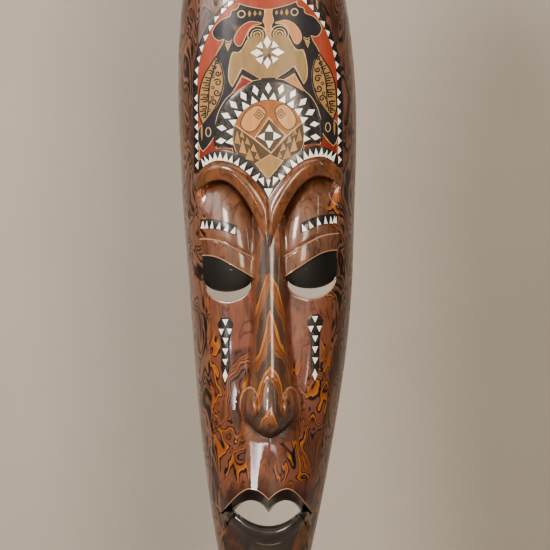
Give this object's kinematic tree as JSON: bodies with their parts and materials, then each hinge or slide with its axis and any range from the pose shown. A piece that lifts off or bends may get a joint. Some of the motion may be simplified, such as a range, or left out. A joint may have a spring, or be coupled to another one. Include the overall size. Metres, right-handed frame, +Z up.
{
  "type": "carved wooden mask",
  "caption": "Tall narrow wall mask, carved and lacquered, hollow at the back, with shell chips set in black beds and a ring hanger.",
  "frame": {"origin": "on the wall plane behind the middle of the hanger's hinge, near the top of the back", "axes": "+Z up the mask towards its top, +Y into the wall, so that the face looks along -Y, +X to the right as seen from the front"},
  "size_m": [0.2172, 0.1094, 0.996],
  "materials": {
    "lacquered_wood": "gloss lacquer over stained and painted wood",
    "black_resin": "gloss",
    "shell": "polished shell",
    "zinc_steel": "zinc plated"
  },
  "bodies": {
    "mask": {"mask_body": "lacquered_wood", "border_bed": "black_resin", "brow_bed": "black_resin", "sunburst_bed": "black_resin", "star_bed": "black_resin", "eyelid_bed_left": "black_resin", "eyelid_bed_right": "black_resin", "cheek_bed_left": "black_resin", "cheek_bed_right": "black_resin", "border_shells_left": "shell", "border_shells_right": "shell", "brow_shells_left": "shell", "brow_shells_right": "shell", "brow_point_shells": "shell", "sunburst_diamonds": "shell", "sunburst_triangles": "shell", "star_shells": "shell", "medallion_shells": "shell", "eyelid_shells_left": "shell", "eyelid_shells_right": "shell", "cheek_shells_left": "shell", "cheek_shells_right": "shell", "hanger_strap": "zinc_steel", "hanger_screws": "zinc_steel"},
    "ring": {"hanger_ring": "zinc_steel"}
  },
  "joints": [
    {"name": "ring_swing", "type": "hinge", "parent": "mask", "child": "ring", "pos_m": [0, -0.0031, 0], "axis": [1, 0, 0], "range_deg": [0, 180]}
  ]
}
